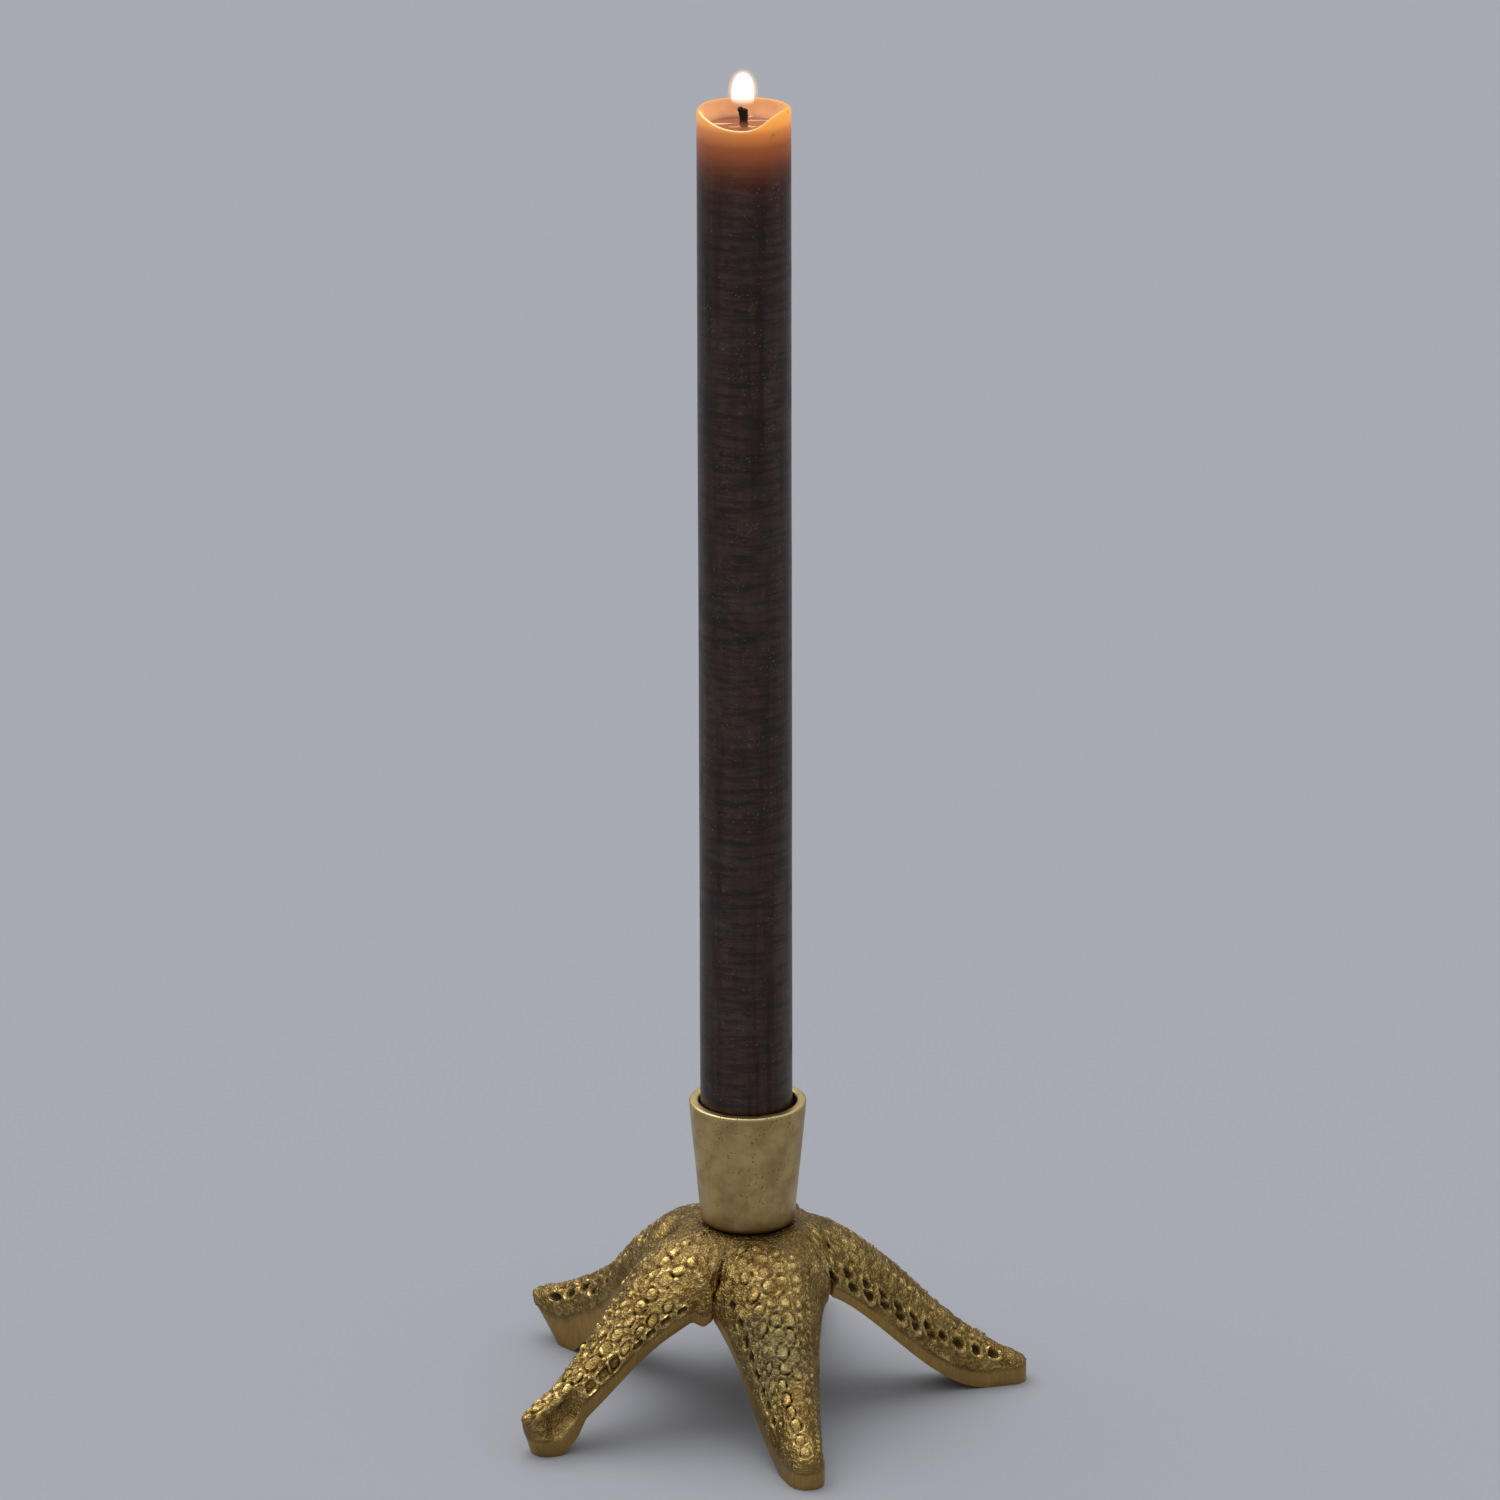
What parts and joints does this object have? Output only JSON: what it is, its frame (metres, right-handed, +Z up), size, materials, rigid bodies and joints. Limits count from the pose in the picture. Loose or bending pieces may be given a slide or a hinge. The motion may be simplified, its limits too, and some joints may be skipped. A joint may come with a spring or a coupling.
{
  "type": "candle holder",
  "caption": "Cast brass starfish standing on its arm tips, with a tapered brass cup screwed to its centre that holds a tall dark dinner candle.",
  "frame": {"origin": "on the floor, at the middle of the rectangle round the five feet", "axes": "+Z up along the candle, +Y away from the viewer of the picture, +X to the right, towards the longest arm"},
  "size_m": [0.1214, 0.1222, 0.3209],
  "materials": {
    "cast_brass": "old polished casting with dark recesses",
    "turned_brass": "satin, dulled with age",
    "screw_steel": "plain zinc",
    "dark_wax": "smooth dark wax",
    "charred_cotton": "charred cotton"
  },
  "bodies": {
    "holder": {"starfish_base": "cast_brass", "candle_cup": "turned_brass", "fixing_screw": "screw_steel", "screw_washer": "screw_steel"},
    "candle": {"candle": "dark_wax", "wick": "charred_cotton"}
  },
  "joints": [
    {"name": "candle_lift", "type": "slide", "parent": "holder", "child": "candle", "axis": [0, 0, 1], "range_m": [0, 0.04]}
  ]
}
